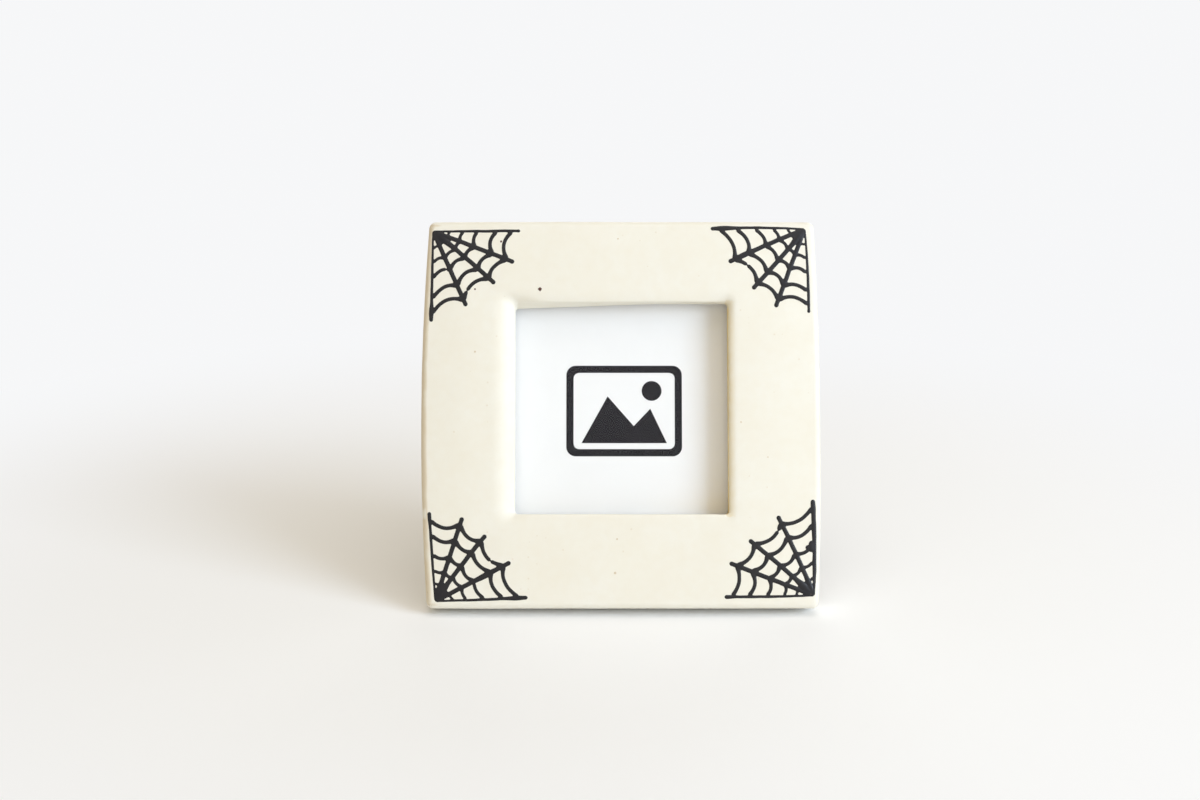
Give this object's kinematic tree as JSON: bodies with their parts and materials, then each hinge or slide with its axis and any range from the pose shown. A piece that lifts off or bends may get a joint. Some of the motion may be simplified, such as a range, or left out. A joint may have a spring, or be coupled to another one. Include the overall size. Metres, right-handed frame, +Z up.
{
  "type": "photo frame",
  "caption": "Square glazed ceramic photo frame with swelled sides, a flared square window and raised black cobwebs in its corners, leaning back on a folding easel leg.",
  "frame": {"origin": "on the table, under the middle of the standing frame's bounding box", "axes": "+X to the right seen from the front, +Y towards the back, +Z up"},
  "size_m": [0.1434, 0.068, 0.134],
  "materials": {
    "ivory_glaze": "satin ivory glaze with faint mottling and a few iron specks, tan where it thins on the edges",
    "black_glaze": "raised hand-drawn black glaze with a soft gloss",
    "clear_glass": "clear sheet glass with polished edges",
    "white_paper": "smooth white print paper",
    "grey_card": "raw grey-brown card",
    "black_board": "pressed board covered in black grained paper",
    "nickel_steel": "nickel plated sheet steel",
    "zinc_steel": "zinc plated steel",
    "white_nylon": "moulded white nylon"
  },
  "bodies": {
    "frame": {"ceramic_frame": "ivory_glaze", "cobweb_top_left": "black_glaze", "cobweb_top_right": "black_glaze", "cobweb_bottom_left": "black_glaze", "cobweb_bottom_right": "black_glaze", "glass_pane": "clear_glass", "photo_print": "white_paper", "filler_card": "grey_card", "backing_board": "black_board", "hinge_fixed_leaf": "nickel_steel", "hinge_pin": "zinc_steel", "board_rivet_left": "nickel_steel", "board_rivet_right": "nickel_steel", "button_screw_left_upper": "zinc_steel", "button_screw_left_lower": "zinc_steel", "button_screw_right_upper": "zinc_steel", "button_screw_right_lower": "zinc_steel", "screw_plug_left_upper": "white_nylon", "screw_plug_left_lower": "white_nylon", "screw_plug_right_upper": "white_nylon", "screw_plug_right_lower": "white_nylon"},
    "leg": {"easel_leg": "black_board", "hinge_moving_leaf": "nickel_steel", "leg_rivet_left": "nickel_steel", "leg_rivet_right": "nickel_steel"},
    "button_left_upper": {"turn_button_left_upper": "nickel_steel"},
    "button_left_lower": {"turn_button_left_lower": "nickel_steel"},
    "button_right_upper": {"turn_button_right_upper": "nickel_steel"},
    "button_right_lower": {"turn_button_right_lower": "nickel_steel"}
  },
  "joints": [
    {"name": "leg_fold", "type": "hinge", "parent": "frame", "child": "leg", "pos_m": [0, 0.01187, 0.07931], "axis": [1, 0, 0], "range_deg": [-35, 0]},
    {"name": "turn_left_upper", "type": "hinge", "parent": "frame", "child": "button_left_upper", "pos_m": [-0.05, 0.01381, 0.08925], "axis": [0, 0.9397, -0.342], "continuous": true},
    {"name": "turn_left_lower", "type": "hinge", "parent": "frame", "child": "button_left_lower", "pos_m": [-0.05, -0.00329, 0.04226], "axis": [0, 0.9397, -0.342], "continuous": true},
    {"name": "turn_right_upper", "type": "hinge", "parent": "frame", "child": "button_right_upper", "pos_m": [0.05, 0.01381, 0.08925], "axis": [0, 0.9397, -0.342], "continuous": true},
    {"name": "turn_right_lower", "type": "hinge", "parent": "frame", "child": "button_right_lower", "pos_m": [0.05, -0.00329, 0.04226], "axis": [0, 0.9397, -0.342], "continuous": true}
  ]
}
